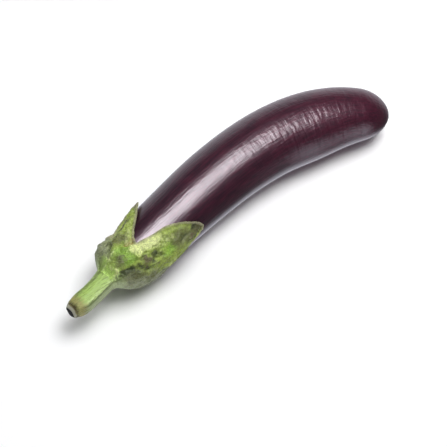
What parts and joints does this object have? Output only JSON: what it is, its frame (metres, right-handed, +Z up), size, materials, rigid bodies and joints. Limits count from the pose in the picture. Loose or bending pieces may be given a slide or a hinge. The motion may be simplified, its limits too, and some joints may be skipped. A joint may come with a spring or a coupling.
{
  "type": "eggplant",
  "caption": "Long curved eggplant lying on its side, with a lobed green calyx and a cut, ribbed stem.",
  "frame": {"origin": "middle of the part's footprint, on the surface that the eggplant lies on", "axes": "+X from the stem end to the blossom end, +Y to the side that the fruit's curve bulges to, +Z up"},
  "size_m": [0.2714, 0.0664, 0.0473],
  "materials": {
    "skin": "glossy dark aubergine skin, redder towards the blossom end",
    "calyx": "matt green leaf tissue with brown and olive mottling and pale fuzzy rims",
    "stem": "ribbed light green stalk, brown near the cut"
  },
  "bodies": {
    "root": {"fruit": "skin", "calyx": "calyx", "stem": "stem"}
  },
  "joints": []
}
